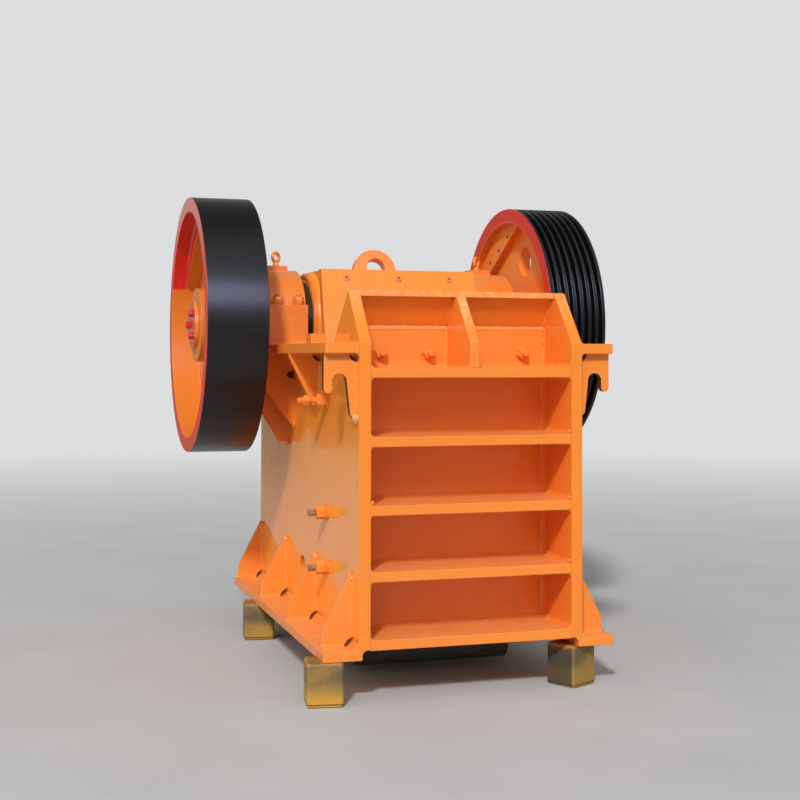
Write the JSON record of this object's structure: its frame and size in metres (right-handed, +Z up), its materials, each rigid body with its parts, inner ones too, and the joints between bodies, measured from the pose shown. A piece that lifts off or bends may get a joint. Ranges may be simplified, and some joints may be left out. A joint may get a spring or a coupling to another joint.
{
  "type": "jaw crusher",
  "caption": "Jaw crusher with a box frame of ribbed plates on stand blocks, a swing jaw hung on an eccentric shaft, a plain flywheel and a grooved pulley flywheel.",
  "frame": {"origin": "On the floor under the stand blocks, in the middle of the width over the flywheels and of the length", "axes": "X along the eccentric shaft, to the right seen from the front; Y from the fixed front wall to the back; Z up"},
  "size_m": [1.922, 2.0463, 2.136],
  "materials": {
    "orange_paint": "gloss",
    "red_paint": "gloss",
    "stand_paint": "satin",
    "jaw_steel": "matte",
    "toggle_iron": "matte",
    "spring_steel": "satin",
    "shaft_steel": "satin"
  },
  "bodies": {
    "frame": {"side_plate_left": "orange_paint", "side_plate_right": "orange_paint", "front_plate": "orange_paint", "front_hood": "orange_paint", "front_mid_rib": "orange_paint", "front_shelf_1": "orange_paint", "front_shelf_2": "orange_paint", "front_shelf_3": "orange_paint", "front_shelf_4": "orange_paint", "front_shelf_5": "orange_paint", "ledge_left": "orange_paint", "ledge_right": "orange_paint", "ledge_gussets_left": "orange_paint", "ledge_gussets_right": "orange_paint", "stop_block_left": "orange_paint", "stop_block_right": "orange_paint", "hook_plate_left": "orange_paint", "hook_plate_right": "orange_paint", "foot_left": "orange_paint", "foot_right": "orange_paint", "foot_gussets_left": "orange_paint", "foot_gussets_right": "orange_paint", "stand_blocks": "stand_paint", "bearing_base_left": "orange_paint", "bearing_base_right": "orange_paint", "bearing_cap_left": "orange_paint", "bearing_cap_right": "orange_paint", "bearing_covers": "orange_paint", "fixed_jaw_plate": "jaw_steel", "cheek_plates": "jaw_steel", "rear_wall": "orange_paint", "rear_ribs": "orange_paint", "toggle_beam": "orange_paint", "toggle_plate": "toggle_iron", "tension_springs": "spring_steel"},
    "rotor": {"eccentric_shaft": "shaft_steel", "flywheel_left": "red_paint", "pulley_flywheel_right": "red_paint", "shaft_caps": "red_paint"},
    "jaw": {"swing_jaw": "orange_paint", "moving_jaw_plate": "jaw_steel", "lifting_eye": "orange_paint", "tension_rods": "spring_steel"}
  },
  "joints": [
    {"name": "rotor_spin", "type": "hinge", "parent": "frame", "child": "rotor", "pos_m": [0, 0.3655, 1.524], "axis": [1, 0, 0], "continuous": true},
    {"name": "jaw_swing", "type": "hinge", "parent": "frame", "child": "jaw", "pos_m": [0, 0.3655, 1.524], "axis": [-1, 0, 0], "range_deg": [0, 1.2], "deforming": ["tension_springs"]}
  ]
}
